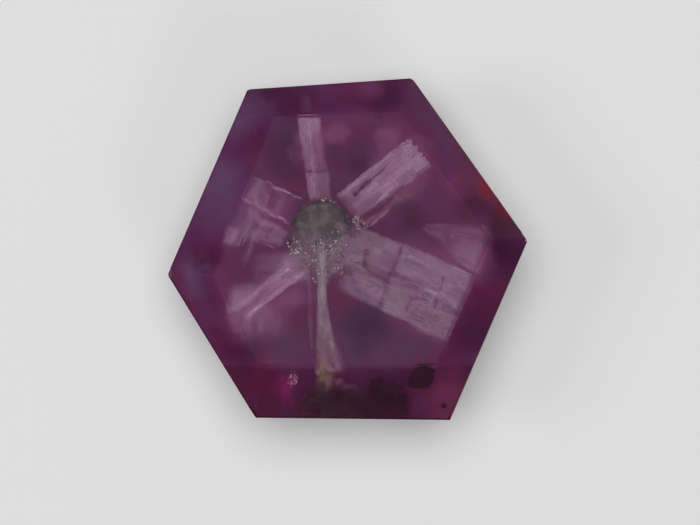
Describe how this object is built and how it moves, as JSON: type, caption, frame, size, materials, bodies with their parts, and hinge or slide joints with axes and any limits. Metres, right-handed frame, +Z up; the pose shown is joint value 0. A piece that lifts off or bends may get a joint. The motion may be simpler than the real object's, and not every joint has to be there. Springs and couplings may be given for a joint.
{
  "type": "trapiche sapphire",
  "caption": "Hexagonal faceted trapiche sapphire: bevelled crown around a flat table, thin upright girdle, stepped pavilion and a flat base to rest on.",
  "frame": {"origin": "middle of the stone's plan box, on the plane of its flat base", "axes": "+Z up, out of the table; +X towards the right-hand corner and +Y towards the top side as the stone is seen from above"},
  "size_m": [0.0144, 0.0136, 0.0048],
  "materials": {
    "sapphire": "polished, translucent dark purple corundum with a lilac-grey six-armed star inside"
  },
  "bodies": {
    "root": {"sapphire": "sapphire"}
  },
  "joints": []
}
